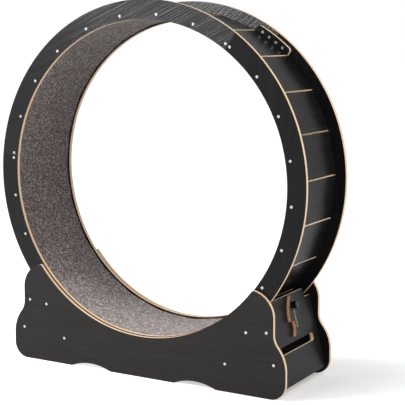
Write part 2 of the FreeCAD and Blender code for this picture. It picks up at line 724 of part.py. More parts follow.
def make_end_board(label, end):
    """A leaning end board with a hand slot. Its neck passes up between the rings. The right one
    is drilled for the stopper's clamp bolt."""
    body = new_body(label)
    outline = new_sketch(body, f"{label}_outline")
    corners = [
        (PANEL_INSIDE, f"-{BOARD_LENGTH}", "0"),
        (PANEL_INSIDE, "-neck_drop", "0"),
        ("neck_half_width", "-neck_drop", "0"),
        ("neck_half_width", "0", "0"),
    ]
    draw_rounded(outline, mirrored(corners))
    pad(body, outline, "board_thickness")
    slot = new_sketch(body, f"{label}_slot")
    slot_corners = [
        ("slot_half_length", "-slot_drop - slot_height", "slot_corner"),
        ("slot_half_length", "-slot_drop", "slot_corner"),
    ]
    draw_rounded(slot, mirrored(slot_corners))
    pocket(body, slot, flipped=True)
    if end == RIGHT:
        clamp = new_sketch(body, f"{label}_clamp")
        draw_circles(clamp, [("0", "-bolt_drop")], "bolt_radius + bolt_clearance")
        pocket(body, clamp, flipped=True)
    pilots = new_sketch(body, f"{label}_pilots", "YZ_Plane", offset=PANEL_INSIDE)
    drops = ("board_screw_drop", "board_screw_drop + board_screw_pitch")
    draw_circles(pilots, [(f"-({drop})", "board_thickness / 2") for drop in drops], SCREW_HOLE)
    drilled = pocket(body, pilots, "screw_length - board_thickness + screw_clearance")
    mirror_feature(body, drilled, "YZ_Plane")
    body.Placement = end_board_frame(end)
    return body


def make_rod(label, x, height, radius, pilot_depth):
    """A round rod from panel to panel, drilled at both ends."""
    body = new_body(label)
    section = new_sketch(body, f"{label}_section")
    draw_circles(section, [("0", "0")], radius)
    pad(body, section, f"2 * {PANEL_INSIDE}", midplane=True)
    pilots = new_sketch(body, f"{label}_pilots", offset=PANEL_INSIDE)
    draw_circles(pilots, [("0", "0")], SCREW_HOLE)
    drilled = pocket(body, pilots, pilot_depth)
    mirror_feature(body, drilled, "XY_Plane")
    body.Placement = facing(FRONT, x=x, height=height)
    return body


def make_cradle(screw, axle_screw):
    nodes = [make_side_panel(f"{SIDE_NAMES[side]}_side_panel", side) for side in (FRONT, REAR)]
    screw_depth = "screw_length - board_thickness + screw_clearance"
    axle_depth = "axle_screw_length - board_thickness + screw_clearance"
    for end in (LEFT, RIGHT):
        name = END_NAMES[end]
        nodes.append(make_end_board(f"{name}_end_board", end))
        nodes.append(make_rod(f"{name}_dowel", f"{end} * dowel_place", "dowel_height",
                              "dowel_radius", screw_depth))
        nodes.append(make_rod(f"{name}_roller_axle", f"{end} * {ROLLER_X}", ROLLER_Z,
                              "axle_radius", axle_depth))
    panel_outside = f"({PANEL_INSIDE} + board_thickness)"
    for label, shape, centres in (("panel_screws", screw, panel_screw_centres),
                                  ("axle_screws", axle_screw, axle_screw_centres)):
        heads = []
        for side in (FRONT, REAR):
            heads += [facing(side, x, f"{side} * {panel_outside}", z) for x, z in centres]
        nodes.append(group(label, shape, heads))
    return nodes


# ---------------------------------------------------------------- the rollers

# A roller's frame lies on its axle in the middle plane of the ring, with Z pointing outwards.
roller_plane = "(track_width / 2 + board_thickness / 2)"
flange_face = "(-board_thickness / 2 - flange_gap)"
tyre_inner_end = f"({flange_face} - flange_width)"
tyre_outer_end = f"({PANEL_INSIDE} - {roller_plane} - tyre_end_gap)"
sleeve_start = "(bearing_width / 2 + sleeve_gap)"
sleeve_bore = "(axle_radius + running_fit)"
race_inner = f"({sleeve_bore} + race_wall)"
race_outer = "(bearing_radius - race_wall)"


def turned(name, corners):
    """A body turned from a profile of (radius, z) corners."""
    body = new_body(name)
    profile = new_sketch(body, f"{name}_profile", "XZ_Plane")
    draw_path(profile, [(radius, z, "0") for radius, z in corners])
    revolve(body, profile)
    return body


def make_tyre(label, placement):
    """A rubber tyre moulded over its bearing, with a flange on the inner side of the ring."""
    bore = "(bearing_radius - tyre_lip)"
    flange_radius = "(tyre_radius + flange_height)"
    corners = [
        (bore, tyre_inner_end),
        (flange_radius, tyre_inner_end),
        (flange_radius, flange_face),
        ("tyre_radius", flange_face),
        ("tyre_radius", tyre_outer_end),
        (bore, tyre_outer_end),
        (bore, "bearing_width / 2"),
        ("bearing_radius", "bearing_width / 2"),
        ("bearing_radius", "-bearing_width / 2"),
        (bore, "-bearing_width / 2"),
    ]
    body = turned(label, corners)
    body.Placement = placement
    return body


def make_bearing(label, placement):
    """A shielded ball bearing: two races with the shields set back between them."""
    face = "bearing_width / 2"
    shield = "(bearing_width / 2 - bearing_shield)"
    outer_half = [(race_inner, face), (race_inner, shield), (race_outer, shield), (race_outer, face)]
    inner_half = [(radius, f"-({z})") for radius, z in reversed(outer_half)]
    corners = [(sleeve_bore, f"-({face})"), (sleeve_bore, face)] + outer_half
    corners += [("bearing_radius", face), ("bearing_radius", f"-({face})")] + inner_half
    body = turned(label, corners)
    body.Placement = placement
    return body


def make_sleeve(name, radius, low, high):
    """A sleeve round an axle."""
    corners = [(sleeve_bore, low), (radius, low), (radius, high), (sleeve_bore, high)]
    return turned(name, corners)


def make_rollers():
    nodes = []
    seats = []
    for side in (FRONT, REAR):
        for end in (LEFT, RIGHT):
            seat = facing(side, f"{end} * {ROLLER_X}", f"{side} * {roller_plane}", ROLLER_Z)
            name = f"{SIDE_NAMES[side]}_{END_NAMES[end]}"
            nodes.append(make_tyre(f"{name}_tyre", seat))
            nodes.append(make_bearing(f"{name}_bearing", seat))
            seats.append(seat)
    panel_face = f"({PANEL_INSIDE} - {roller_plane})"
    spacer = make_sleeve("spacer", race_inner, sleeve_start, panel_face)
    nodes.append(group("axle_spacers", spacer.Shape, seats))
    collar_end = f"(-{sleeve_start} - collar_width)"
    collar = make_sleeve("collar", "collar_radius", collar_end, f"-{sleeve_start}")
    grub = new_sketch(collar, "collar_grub", "XZ_Plane")
    draw_circles(grub, [("0", f"-{sleeve_start} - collar_width / 2")], "grub_radius")
    pocket(collar, grub, "collar_radius")
    nodes.append(group("axle_collars", collar.Shape, seats))
    return nodes


# ---------------------------------------------------------------- the stopper

# All of it is made in the right end board's frame, outwards from the board's outer face.
stopper_face = "(board_thickness + stopper_gap)"
knob_face = f"({stopper_face} + board_thickness + knob_gap)"
bolt_end = f"({knob_face} + knob_thread_depth)"
shoulder_y = "(stopper_tip_drop + stopper_head_length)"
head_bottom = f"({shoulder_y} + stopper_shoulder)"
tail_start = f"({head_bottom} + waist_length)"
tail_end = f"({tail_start} + tail_length)"


def make_stopper_plate(label):
    """A plate with a pointed head, a waist and a flared tail, slotted for the clamp bolt."""
    body = new_body(label)
    outline = new_sketch(body, f"{label}_outline", offset=stopper_face)
    head_radius = "((stopper_head_length ^ 2 + stopper_half_width ^ 2) / (2 * stopper_half_width))"
    right = [
        ("tail_half_width", f"-{tail_end}", "-tail_radius"),
        ("waist_half_width", f"-{tail_start}", "0"),
        ("waist_half_width", f"-{head_bottom}", "0"),
        ("stopper_half_width - stopper_shoulder", f"-{head_bottom}", "stopper_shoulder"),
        ("stopper_half_width", f"-{shoulder_y}", head_radius),
    ]
    left = [
        ("0", "-stopper_tip_drop", head_radius),
        ("-stopper_half_width", f"-{shoulder_y}", "stopper_shoulder"),
        ("stopper_shoulder - stopper_half_width", f"-{head_bottom}", "0"),
        ("-waist_half_width", f"-{head_bottom}", "0"),
        ("-waist_half_width", f"-{tail_start}", "-tail_radius"),
        ("-tail_half_width", f"-{tail_end}", "0"),
    ]
    draw_path(outline, right + left)
    pad(body, outline, "board_thickness")
    slot = new_sketch(body, f"{label}_slot", offset=stopper_face)
    half = "(bolt_radius + bolt_clearance)"
    draw_slot(slot, f"(-bolt_drop + 2 * {half} - stopper_slot_length)", "(-bolt_drop)", half)
    pocket(body, slot, flipped=True)
    body.Placement = end_board_frame(RIGHT)
    return body


def make_stopper_bolt(label):
    """A bolt with a domed head behind the end board and its shank out through the slot."""
    body = new_body(label)
    profile = new_sketch(body, f"{label}_profile", "XZ_Plane")
    dome = "((bolt_head_radius ^ 2 + bolt_head_height ^ 2) / (2 * bolt_head_height))"
    corners = [
        ("0", "-bolt_head_height", dome),
        ("bolt_head_radius", "0", "0"),
        ("bolt_radius", "0", "0"),
        ("bolt_radius", bolt_end, "0"),
        ("0", bolt_end, "0"),
    ]
    draw_path(profile, corners)
    revolve(body, profile)
    body.Placement = shifted(end_board_frame(RIGHT), y="-bolt_drop")
    return body


def make_stopper_knob(label):
    """A round clamp knob, threaded on the bolt, with scallops for the fingers."""
    body = new_body(label)
    profile = new_sketch(body, f"{label}_profile", "XZ_Plane")
    bore = "(bolt_radius + thread_clearance)"
    crown = f"({knob_face} + knob_height)"
    thread_top = f"({bolt_end} + knob_gap)"
    corners = [
        (bore, knob_face, "0"),
        ("knob_radius", knob_face, "0"),
        ("knob_radius", f"{crown} - knob_edge", "knob_edge"),
        ("knob_radius - knob_edge", crown, "0"),
        ("0", crown, "0"),
        ("0", thread_top, "0"),
        (bore, thread_top, "0"),
    ]
    draw_path(profile, corners)
    revolve(body, profile)
    grips = new_sketch(body, f"{label}_grips", offset=knob_face)
    draw_circles(grips, [("knob_radius + knob_grip_offset", "0")], "knob_grip_radius")
    scallop = pocket(body, grips, flipped=True)
    polar_pattern(body, scallop, "knob_grips")
    body.Placement = shifted(end_board_frame(RIGHT), y="-bolt_drop")
    return body


# ---------------------------------------------------------------- build and write


def check_document():
    """Stop if any object failed."""
    doc.recompute()
    for item in doc.Objects:
        if "Invalid" in item.State or "Error" in item.State:
            raise ValueError(f"{item.Label} failed: {item.State}")


def write_parts(nodes):
    os.makedirs("parts", exist_ok=True)
    for node in nodes:
        if node.Shape.isNull() or not node.Shape.isValid():
            raise ValueError(f"{node.Label} has no valid shape")
        node.Shape.exportStep(os.path.join("parts", f"{node.Label}.step"))
    print(f"{len(nodes)} sub-parts written")


long_screw = make_screw("long_screw", "screw_length")
short_screw = make_screw("short_screw", "short_screw_length")
axle_screw = make_screw("axle_screw", "axle_screw_length")

sub_parts = make_wheel(long_screw, short_screw)
sub_parts += make_cradle(long_screw, axle_screw)
sub_parts += make_rollers()
sub_parts.append(make_stopper_plate("stopper_plate"))
sub_parts.append(make_stopper_bolt("stopper_bolt"))
sub_parts.append(make_stopper_knob("stopper_knob"))

check_document()
write_parts(sub_parts)
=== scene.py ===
import json
import math

import bmesh
import bpy
from mathutils import Matrix, Vector, noise


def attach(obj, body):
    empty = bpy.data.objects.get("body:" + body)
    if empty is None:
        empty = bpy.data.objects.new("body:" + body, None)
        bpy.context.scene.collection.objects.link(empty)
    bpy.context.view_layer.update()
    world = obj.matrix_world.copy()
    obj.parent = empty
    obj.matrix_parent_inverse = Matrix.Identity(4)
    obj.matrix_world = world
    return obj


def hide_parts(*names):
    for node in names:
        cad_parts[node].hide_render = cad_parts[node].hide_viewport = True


# The looks of a cat exercise wheel: black wood-grain laminate on plywood, raw pale edges, a mottled
# carpet on the treads, zinc screws and a black clamp knob. Metres, in the row's own frame.

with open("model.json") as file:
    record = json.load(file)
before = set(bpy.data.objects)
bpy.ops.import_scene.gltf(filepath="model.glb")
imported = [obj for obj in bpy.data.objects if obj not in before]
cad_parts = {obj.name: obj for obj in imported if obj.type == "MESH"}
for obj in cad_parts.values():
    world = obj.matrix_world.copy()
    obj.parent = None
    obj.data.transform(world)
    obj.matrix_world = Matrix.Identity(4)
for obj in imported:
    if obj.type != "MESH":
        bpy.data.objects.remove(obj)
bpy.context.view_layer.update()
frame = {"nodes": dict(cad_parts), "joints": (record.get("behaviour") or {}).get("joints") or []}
nodes = frame["nodes"]

MM = 0.001
SIDES = ("front", "rear")
ENDS = ("left", "right")

# The axle's place, and the directions of the leaning end boards: out of their faces, and up the
# right one.
joints = {joint["name"]: joint for joint in frame["joints"]}
AXLE = Vector(joints["wheel_spin"]["pos_m"])
ALONG_AXLE = Vector((0.0, 1.0, 0.0))
BOARD_OUT = Vector(joints["knob_turn"]["axis"])
BOARD_UP = Vector(joints["stopper_slide"]["axis"])
LEFT_OUT = Vector((-BOARD_OUT.x, 0.0, BOARD_OUT.z))

# The drum of tread boards, measured from the axle. Its first joint lies at the upper right.
TREADS = 24
TREAD_STEP = 2 * math.pi / TREADS
FIRST_SEAM = math.radians(61.9)
TREAD_INNER = 452 * MM
TREAD_THICKNESS = 15 * MM
TREAD_CORNER = TREAD_INNER / math.cos(TREAD_STEP / 2)


# ---------------------------------------------------------------- shader helpers

VECTORS_TO_NUMBERS = ("DOT_PRODUCT", "DISTANCE", "LENGTH")


class Shader:
    """A node material, built up by short calls."""

    def __init__(self, name):
        self.material = bpy.data.materials.new(name)
        self.material.use_nodes = True
        self.tree = self.material.node_tree
        self.tree.nodes.clear()
        output = self.tree.nodes.new("ShaderNodeOutputMaterial")
        self.surface = self.tree.nodes.new("ShaderNodeBsdfPrincipled")
        self.link(self.surface.outputs[0], output.inputs["Surface"])
        self.place = self.tree.nodes.new("ShaderNodeTexCoord").outputs["Object"]

    def link(self, source, target):
        self.tree.links.new(source, target)

    def feed(self, target, value):
        """Set a socket to a number, a colour, a vector or another node's output."""
        if isinstance(value, bpy.types.NodeSocket):
            self.link(value, target)
        elif target.type == "RGBA":
            target.default_value = (*value, 1.0)
        else:
            target.default_value = value

    def add(self, kind, output=0, settings=None, **inputs):
        """Add a node and give back one of its outputs. Its inputs go by their names, or by their
        numbers as i0, i1 and so on."""
        node = self.tree.nodes.new(f"ShaderNode{kind}")
        for name, value in (settings or {}).items():
            setattr(node, name, value)
        for name, value in inputs.items():
            key = int(name[1:]) if name[1:].isdigit() else name
            self.feed(node.inputs[key], value)
        return node.outputs[output]

    def math(self, operation, first, second=0.0):
        return self.add("Math", settings={"operation": operation}, i0=first, i1=second)

    def scaled(self, value, factor):
        return self.math("MULTIPLY", value, factor)

    def vector(self, operation, first, second=(0.0, 0.0, 0.0)):
        output = 1 if operation in VECTORS_TO_NUMBERS else 0
        return self.add("VectorMath", output, {"operation": operation}, i0=first, i1=second)

    def turned(self, along, across, stretch):
        """Object coordinates on a board's own axes, drawn out along its grain."""
        along, across = Vector(along), Vector(across)
        parts = []
        for axis, scale in ((along, stretch), (across, 1.0), (along.cross(across), 1.0)):
            parts.append(self.scaled(self.vector("DOT_PRODUCT", self.place, axis), scale))
        return self.add("CombineXYZ", i0=parts[0], i1=parts[1], i2=parts[2])

    def noise(self, vector, scale, detail=2.0, roughness=0.5):
        return self.add("TexNoise", Vector=vector, Scale=scale, Detail=detail, Roughness=roughness)

    def ramp(self, factor, *stops):
        """A colour ramp through (position, colour or grey) stops."""
        output = self.add("ValToRGB", Fac=factor)
        elements = output.node.color_ramp.elements
        while len(elements) < len(stops):
            elements.new(0.5)
        for element, (position, colour) in zip(elements, stops):
            element.position = position
            shade = (colour,) * 3 if isinstance(colour, float) else colour
            element.color = (*shade, 1.0)
        return output

    def eased(self, value, start, end, low, high):
        """Go smoothly from low to high while the value goes from start to end."""
        return self.add("MapRange", settings={"interpolation_type": "SMOOTHSTEP"},
                        i0=value, i1=start, i2=end, i3=low, i4=high)

    def mix(self, factor, first, second):
        return self.add("Mix", 2, {"data_type": "RGBA"}, i0=factor, i6=first, i7=second)

    def bump(self, height, distance):
        normal = self.add("Bump", Distance=distance, Height=height)
        self.link(normal, self.surface.inputs["Normal"])

    def set(self, **inputs):
        for name, value in inputs.items():
            self.feed(self.surface.inputs[name.replace("_", " ")], value)
        return self.material


# ---------------------------------------------------------------- laminate

GRAIN_STRETCH = 0.013
WANDER_SCALE = 5.0
WANDER_REACH = 0.008
RIDGE_SCALE = 240.0
PORE_SCALE = 900.0
COMB_SCALE = 41.0
COMB_SWAY = 8.0
SEED_SLANT = 1.7
RIDGE_SHADE = 0.7
PORE_SHADE = 0.3
PORE_ROUGHNESS = 0.10
PORE_HEIGHT = 0.22
FAINTEST_SHEEN = 0.12


def laminate(name, grain, base, streak, rough, seed, emboss, shine, sheen_fade=None, combed=0.0):
    """Black wood-grain laminate: embossed streaks that run with the grain, over fine pores. The
    grain is given as the directions along and across it. A combed sheet has finer and more even
    streaks. Where two places on the X axis are given, the streaks grow from faint to full between
    them, in bump and in colour; the growing streak colour is painted sheen."""
    shader = Shader(name)
    moved = shader.vector("ADD", shader.turned(*grain, GRAIN_STRETCH), (seed, seed * SEED_SLANT, 0.0))
    wander = shader.vector("MULTIPLY", shader.noise(moved, WANDER_SCALE, 1.0), (WANDER_REACH,) * 3)
    bent = shader.vector("ADD", moved, wander)
    ridges = shader.noise(bent, RIDGE_SCALE, 3.0, 0.55)
    pores = shader.noise(bent, PORE_SCALE, 3.0, 0.6)
    lines = shader.ramp(ridges, (0.43, 0.0), (0.57, 1.0))
    if combed:
        comb = shader.add("TexWave", 1, {"bands_direction": "Y"}, Vector=bent, Scale=COMB_SCALE,
                          Distortion=COMB_SWAY, Detail=2.0)
        lines = shader.mix(combed, lines, shader.ramp(comb, (0.15, 0.0), (0.6, 1.0)))
    marks = shader.ramp(pores, (0.45, 0.0), (0.62, 1.0))
    shade = shader.math("ADD", shader.scaled(lines, RIDGE_SHADE), shader.scaled(marks, PORE_SHADE))
    roughness = shader.math("ADD", shader.scaled(marks, PORE_ROUGHNESS), rough)
    height = shader.math("ADD", lines, shader.scaled(marks, PORE_HEIGHT))
    # Between the two X places the streaks' bump and colour grow; the growing colour is painted sheen.
    if sheen_fade:
        sideways = shader.add("SeparateXYZ", i0=shader.place)
        sheen_growth = shader.eased(sideways, *sheen_fade, FAINTEST_SHEEN, 1.0)
        height = shader.scaled(height, sheen_growth)
        shade = shader.scaled(shade, sheen_growth)
    shader.bump(height, emboss)
    colour = shader.mix(shade, base, streak)
    return shader.set(Base_Color=colour, Roughness=roughness, Specular_IOR_Level=shine)


def in_plane(degrees):
    """The grain's direction on an upright board that faces the front, from +X towards +Z, and the
    direction across it."""
    turn = math.radians(degrees)
    along = (math.cos(turn), 0.0, math.sin(turn))
    across = (-math.sin(turn), 0.0, math.cos(turn))
    return along, across


ALONG_Y = (ALONG_AXLE, (1.0, 0.0, 0.0))
UP_BOARD = (BOARD_UP, ALONG_AXLE)
BLACK = (0.0055, 0.0055, 0.0062)
# The end boards' black, darker than the panels' laminate: painted shade.
BLACK_SHADED = (0.0105, 0.0100, 0.0100)
BLACK_WARM = (0.0135, 0.0119, 0.0114)
STREAK = (0.0105, 0.0100, 0.0105)
STREAK_WARM = (0.0215, 0.0192, 0.0187)
# The pale streak colour of the top segments: partly grain, partly painted sheen.
STREAK_GRAIN_AND_SHEEN = (0.040, 0.039, 0.041)

# The three segments of a ring are cut from the sheet at their own angles. The grain of the first
# one, at the top, is embossed deepest, so its streaks show most; their paler colour there is partly
# grain and partly painted sheen.
SHEETS = {
    "ring_1": dict(grain=in_plane(23.0), base=BLACK, streak=STREAK_GRAIN_AND_SHEEN, rough=0.25, seed=0.0,
                   emboss=0.28 * MM, shine=0.24, sheen_fade=(-0.44, -0.08), combed=0.5),
    "rear_ring_1": dict(grain=in_plane(38.0), base=BLACK, streak=STREAK_GRAIN_AND_SHEEN, rough=0.27, seed=23.3,
                        emboss=0.24 * MM, shine=0.53, combed=0.3),
    "ring_2": dict(grain=in_plane(150.0), base=BLACK, streak=STREAK, rough=0.32, seed=3.1,
                   emboss=0.03 * MM, shine=0.15),
    "ring_3": dict(grain=in_plane(-90.0), base=BLACK, streak=STREAK, rough=0.32, seed=5.3,
                   emboss=0.03 * MM, shine=0.12),
    "panel": dict(grain=in_plane(0.0), base=BLACK_WARM, streak=STREAK_WARM, rough=0.36, seed=7.7,
                  emboss=0.03 * MM, shine=0.155),
    # The panels' inner faces: a darker, less glossy copy of the panels' laminate, which is painted
    # shade.
    "inside": dict(grain=in_plane(0.0), base=BLACK, streak=STREAK, rough=0.34, seed=19.9,
                   emboss=0.02 * MM, shine=0.12),
    "tread": dict(grain=ALONG_Y, base=BLACK, streak=STREAK, rough=0.27, seed=11.9,
                  emboss=0.003 * MM, shine=0.08),
    # The end boards: a darker copy of the panels' laminate, which is painted shade.
    "end_board": dict(grain=ALONG_Y, base=BLACK_SHADED, streak=STREAK, rough=0.34, seed=13.1,
                      emboss=0.02 * MM, shine=0.12),
    "stopper": dict(grain=UP_BOARD, base=BLACK, streak=STREAK, rough=0.3, seed=17.3,
                    emboss=0.03 * MM, shine=0.14),
}
laminates = {sheet: laminate(f"laminate_{sheet}", **look) for sheet, look in SHEETS.items()}


# ---------------------------------------------------------------- raw edges

LAMINATE_BROWN = (0.055, 0.022, 0.010)
PLY_BROWN = (0.46, 0.215, 0.085)
PLY_CREAM = (0.97, 0.79, 0.585)
PLY_TAN = (0.74, 0.50, 0.30)
PLIES = 7.0
PLY_BLEND = 0.05
FIBRE_SCALE = 900.0
BLOTCH_SCALE = 45.0
FIBRE_TAN = 0.30
BLOTCH_TAN = 0.12
GLUE_TAN = 0.28
GLUE_HEIGHT = -0.6
SAWN_DEPTH = 0.08 * MM
NO_TINT = (1.0, 1.0, 1.0)
# Paler plies for the treads' edges, which sit in shaded joints: painted light.
TREAD_PAINTED_LIGHT = (1.03, 1.12, 1.28)
SLOT_TINT = (0.80, 1.00, 1.32)
STOPPER_TINT = (0.86, 0.66, 0.56)
THIN_SKIN = 0.10


def raw_edge(name, share, tint=NO_TINT, skin=0.17, mark_strength=1.0):
    """The sawn edge of a board. share(shader) is the depth through the board, from 0 to 1: pale
    plies in the middle, brown ones down to the skin's depth under the two faces, and fine glue
    lines between them. The lower the mark strength, the fainter are its fibres, blotches and glue."""
    shader = Shader(name)
    depth = share(shader)
    plies = (PLY_BROWN, PLY_CREAM, PLY_TAN)
    brown, cream, tan = (tuple(min(1.0, v * t) for v, t in zip(ply, tint)) for ply in plies)
    body = shader.ramp(depth, (0.02, LAMINATE_BROWN), (0.06, brown), (skin, brown),
                       (skin + PLY_BLEND, cream), (1.0 - skin - PLY_BLEND, cream),
                       (1.0 - skin, brown), (0.94, brown), (0.98, LAMINATE_BROWN))
    within = shader.math("FRACT", shader.scaled(depth, PLIES))
    glue = shader.ramp(within, (0.0, 1.0), (0.12, 0.0), (0.88, 0.0), (1.0, 1.0))
    fibre = shader.noise(shader.place, FIBRE_SCALE, 4.0, 0.6)
    blotch = shader.noise(shader.place, BLOTCH_SCALE)
    wood = body
    for marks, strength in ((fibre, FIBRE_TAN), (blotch, BLOTCH_TAN), (glue, GLUE_TAN)):
        wood = shader.mix(shader.scaled(marks, strength * mark_strength), wood, tan)
    shader.bump(shader.math("ADD", fibre, shader.scaled(glue, GLUE_HEIGHT)), SAWN_DEPTH)
    return shader.set(Base_Color=wood, Roughness=0.6, Specular_IOR_Level=0.3)


def across_board(direction, node):
    """The share of the way through a flat board, along the direction that it is square to."""
    depths = [vertex.co.dot(direction) for vertex in nodes[node].data.vertices]
    low, high = min(depths), max(depths)

    def share(shader):
        depth = shader.vector("DOT_PRODUCT", shader.place, direction)
        return shader.math("DIVIDE", shader.math("SUBTRACT", depth, low), high - low)

    return share


def across_tread(shader):
    """The share of the way through a tread, outwards from the axle, at the joint beside it."""
    spoke = shader.vector("SUBTRACT", shader.place, AXLE)
    upright = shader.vector("MULTIPLY", spoke, (1.0, 0.0, 1.0))
    radius = shader.vector("LENGTH", upright)
    return shader.math("DIVIDE", shader.math("SUBTRACT", radius, TREAD_CORNER), TREAD_THICKNESS)


right_board = across_board(BOARD_OUT, "right_end_board")
left_board = across_board(LEFT_OUT, "left_end_board")
plate = across_board(BOARD_OUT, "stopper_plate")
edges = {
    # The treads' edges, down in the shaded joints, get paler plies, a thin brown skin and faint marks:
    # painted light.
    "tread": raw_edge("edge_tread", across_tread, tint=TREAD_PAINTED_LIGHT, skin=0.04, mark_strength=0.4),
    "right_end_board": raw_edge("edge_right_board", right_board, skin=THIN_SKIN),
    "left_end_board": raw_edge("edge_left_board", left_board, skin=THIN_SKIN),
    "stopper": raw_edge("edge_stopper", plate, tint=STOPPER_TINT),
    "slot": raw_edge("edge_slot", plate, tint=SLOT_TINT, skin=0.05),
}
for side in SIDES:
    for kind, node in (("ring", "ring_segment_1"), ("panel", "side_panel"), ("splice", "splice_plates")):
        share = across_board(ALONG_AXLE, f"{side}_{node}")
        edges[f"{side}_{kind}"] = raw_edge(f"edge_{side}_{kind}", share)


# ---------------------------------------------------------------- metal, wood, rubber and plastic

METAL_MARKS = 1500.0
METAL_WEAR = 160.0
METAL_DARK = 0.8
METAL_DEPTH = 0.02 * MM
MOULDED_PALE = 1.8
MOULDED_ROUGHNESS = 0.12
BEECH_STRETCH = 0.05
BEECH_PALE = (0.66, 0.43, 0.25)
BEECH_DARK = (0.46, 0.27, 0.14)
BEECH_FLECK = (0.28, 0.15, 0.08)
FLECK_SHARE = 0.35
FLECK_DEPTH = 0.05 * MM


def metal(name, colour, roughness):
    """Plain bright metal with faint turning marks and wear."""
    shader = Shader(name)
    marks = shader.noise(shader.place, METAL_MARKS, 3.0, 0.6)
    wear = shader.ramp(shader.noise(shader.place, METAL_WEAR), (0.4, 0.0), (0.7, 0.12))
    shader.bump(marks, METAL_DEPTH)
    rough = shader.math("ADD", wear, roughness)
    tone = shader.mix(marks, colour, tuple(value * METAL_DARK for value in colour))
    return shader.set(Base_Color=tone, Metallic=1.0, Roughness=rough)


def moulded(name, colour, roughness, grain_scale, grain_depth, shine):
    """Moulded plastic or rubber with a fine surface texture."""
    shader = Shader(name)
    texture = shader.noise(shader.place, grain_scale, 3.0, 0.6)
    tone = shader.mix(texture, colour, tuple(value * MOULDED_PALE for value in colour))
    shader.bump(texture, grain_depth)
    rough = shader.math("ADD", shader.scaled(texture, MOULDED_ROUGHNESS), roughness)
    return shader.set(Base_Color=tone, Roughness=rough, Specular_IOR_Level=shine)


def planed_beech(name):
    """Planed beech, its grain along the dowel."""
    shader = Shader(name)
    grain = shader.turned(*ALONG_Y, BEECH_STRETCH)
    rings = shader.noise(grain, RIDGE_SCALE, 3.0, 0.6)
    flecks = shader.ramp(shader.noise(grain, PORE_SCALE), (0.58, 0.0), (0.7, 1.0))
    colour = shader.mix(rings, BEECH_PALE, BEECH_DARK)
    colour = shader.mix(shader.scaled(flecks, FLECK_SHARE), colour, BEECH_FLECK)
    shader.bump(flecks, FLECK_DEPTH)
    return shader.set(Base_Color=colour, Roughness=0.5)


# ---------------------------------------------------------------- dressing the CAD pieces

EASING = 0.5 * MM
WELD_REACH = 0.002 * MM
FLAT_ANGLE = math.radians(0.3)
SHARP_ANGLE = math.radians(35)
SQUARE = 0.9
SLOT_REACH = 4 * MM
SLOT_MARGIN = 10 * MM


def coat(node, *materials):
    """Give a CAD node its materials, in place of those it has."""
    data = nodes[node].data
    data.materials.clear()
    for material in materials:
        data.materials.append(material)


def paint(node, face, edge, is_face, back=None, is_shaded_back=None):
    """Give a CAD node one material on its broad faces, one on its edges and, where a back is given,
    one on that: a darker laminate for the side panels' inner faces, which is painted shade."""
    coat(node, face, edge, back or face)
    for polygon in nodes[node].data.polygons:
        polygon.material_index = 1
        if is_face(polygon):
            polygon.material_index = 2 if is_shaded_back and is_shaded_back(polygon) else 0


def ease(node):
    """Take the sharpness off a CAD node's edges."""
    piece = nodes[node]
    weld = piece.modifiers.new("weld", "WELD")
    weld.merge_threshold = WELD_REACH
    flat = piece.modifiers.new("flat", "DECIMATE")
    flat.decimate_type = "DISSOLVE"
    flat.angle_limit = FLAT_ANGLE
    flat.delimit = {"MATERIAL"}
    bevel = piece.modifiers.new("ease", "BEVEL")
    bevel.width = EASING
    bevel.segments = 2
    bevel.limit_method = "ANGLE"
    bevel.angle_limit = SHARP_ANGLE
    bevel.harden_normals = True


def square_to(direction):
    """A test for the polygons that are square to a direction."""
    return lambda polygon: abs(polygon.normal.dot(direction)) > SQUARE


def square_to_spoke(polygon):
    spoke = polygon.center - AXLE
    spoke.y = 0.0
    return square_to(spoke.normalized())(polygon)


def faces_inwards(polygon):
    return polygon.normal.y * polygon.center.y < 0.0


def paint_slot():
    """Give the walls of the stopper's slot a paler edge than the plate's outline."""
    data = nodes["stopper_plate"].data
    data.materials.append(edges["slot"])
    heights = [vertex.co.dot(BOARD_UP) for vertex in data.vertices]
    low = min(heights) + SLOT_MARGIN
    high = max(heights) - SLOT_MARGIN
    is_face = square_to(BOARD_OUT)
    for polygon in data.polygons:
        inside = low < polygon.center.dot(BOARD_UP) < high and abs(polygon.center.y) < SLOT_REACH
        if inside and not is_face(polygon):
            polygon.material_index = 3


for side in SIDES:
    for index in (1, 2, 3):
        node = f"{side}_ring_segment_{index}"
        face = laminates.get(f"{side}_ring_{index}", laminates[f"ring_{index}"])
        paint(node, face, edges[f"{side}_ring"], square_to(ALONG_AXLE))
        ease(node)
    paint(f"{side}_side_panel", laminates["panel"], edges[f"{side}_panel"], square_to(ALONG_AXLE),
          laminates["inside"], faces_inwards)
    ease(f"{side}_side_panel")
    paint(f"{side}_splice_plates", laminates["ring_3"], edges[f"{side}_splice"], square_to(ALONG_AXLE))
    ease(f"{side}_splice_plates")
treads = [node for node in sorted(nodes) if node.startswith("tread_board")]
for node in treads:
    paint(node, laminates["tread"], edges["tread"], square_to_spoke)
    ease(node)
paint("right_end_board", laminates["end_board"], edges["right_end_board"], square_to(BOARD_OUT))
paint("left_end_board", laminates["end_board"], edges["left_end_board"], square_to(LEFT_OUT))
paint("stopper_plate", laminates["stopper"], edges["stopper"], square_to(BOARD_OUT))
paint_slot()
for node in ("right_end_board", "left_end_board", "stopper_plate"):
    ease(node)

zinc = metal("zinc", (0.60, 0.60, 0.61), 0.34)
steel = metal("steel", (0.70, 0.70, 0.72), 0.26)
beech = planed_beech("beech")
rubber = moulded("rubber", (0.035, 0.035, 0.036), 0.55, 1400.0, 0.05 * MM, 0.5)
knob_plastic = moulded("knob_plastic", (0.004, 0.004, 0.0045), 0.16, 2200.0, 0.005 * MM, 0.25)

